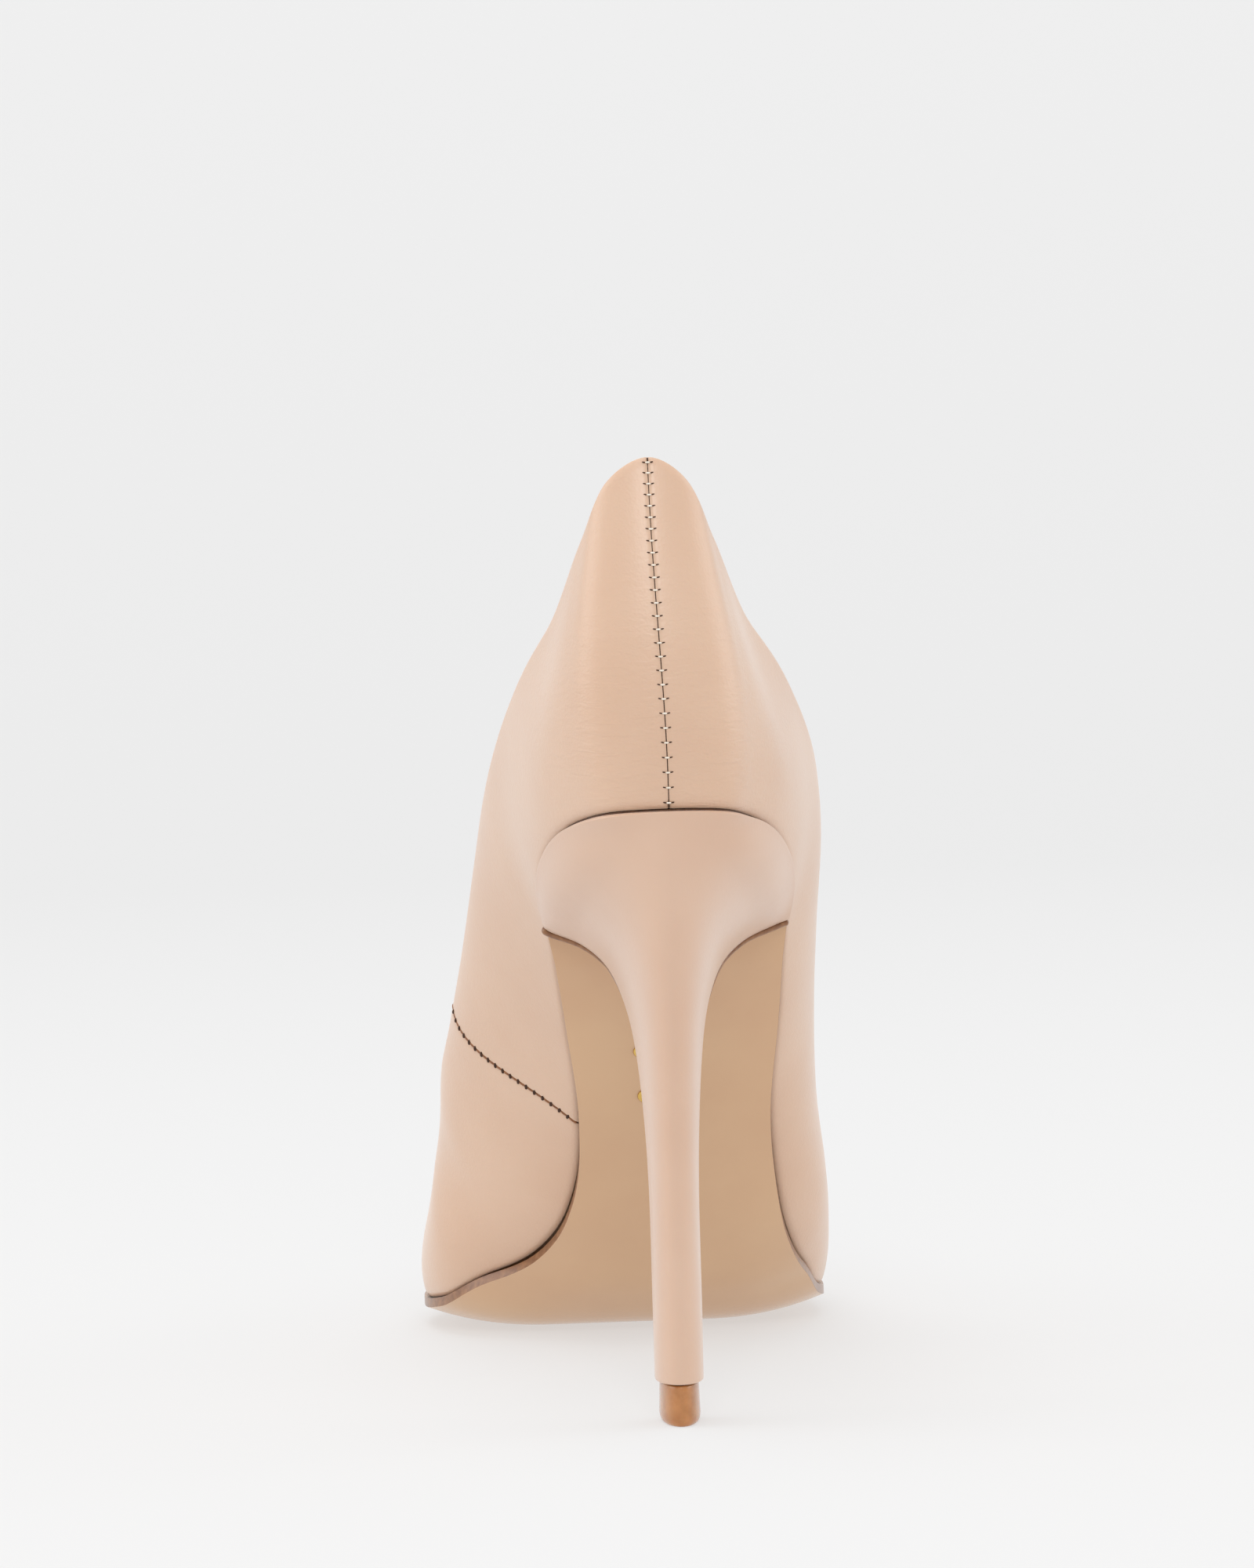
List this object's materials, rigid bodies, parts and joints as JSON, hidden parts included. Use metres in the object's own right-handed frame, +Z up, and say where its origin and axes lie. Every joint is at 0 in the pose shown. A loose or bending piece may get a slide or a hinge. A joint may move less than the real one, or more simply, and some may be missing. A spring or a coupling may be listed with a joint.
{
  "type": "high heel pump",
  "caption": "Right-foot stiletto pump with pointed toe, leather upper, leather-covered heel, breast flap and top piece.",
  "frame": {"origin": "middle of the bounding box at the ground", "axes": "+Y from heel to toe, +X towards the lateral (outer) side, +Z up"},
  "size_m": [0.0768, 0.2158, 0.1627],
  "materials": {
    "outer_leather": "smooth satin",
    "heel_leather": "smooth satin",
    "lining_leather": "soft matte",
    "sole_leather": "lacquered, brown edge",
    "top_piece_plastic": "amber polyurethane",
    "heel_plastic": "moulded",
    "steel": "plain",
    "board": "pressed fibreboard",
    "stiffener": "resin-set fibre sheet",
    "tape": "woven",
    "foam": "open-cell latex foam",
    "filler": "cork compound",
    "gold_metal": "polished"
  },
  "bodies": {
    "root": {"outsole": "sole_leather", "heel_core": "heel_plastic", "heel_cover": "heel_leather", "top_piece": "top_piece_plastic", "top_piece_dowel": "steel", "heel_tube": "steel", "heel_screw": "steel", "insole_board": "board", "shank_board": "board", "shank": "steel", "shank_rivet_1": "steel", "shank_rivet_2": "steel", "bottom_filler": "filler", "vamp": "outer_leather", "medial_quarter": "outer_leather", "heel_counter": "stiffener", "toe_puff": "stiffener", "topline_tape": "tape", "quarter_lining": "lining_leather", "vamp_lining": "lining_leather", "heel_pad": "foam", "ball_pad": "foam", "sock_lining": "lining_leather", "sole_stud_rear": "gold_metal", "sole_stud_front": "gold_metal", "heel_nail_1": "steel", "heel_nail_2": "steel", "heel_nail_3": "steel", "heel_nail_4": "steel", "heel_nail_5": "steel"}
  },
  "joints": []
}
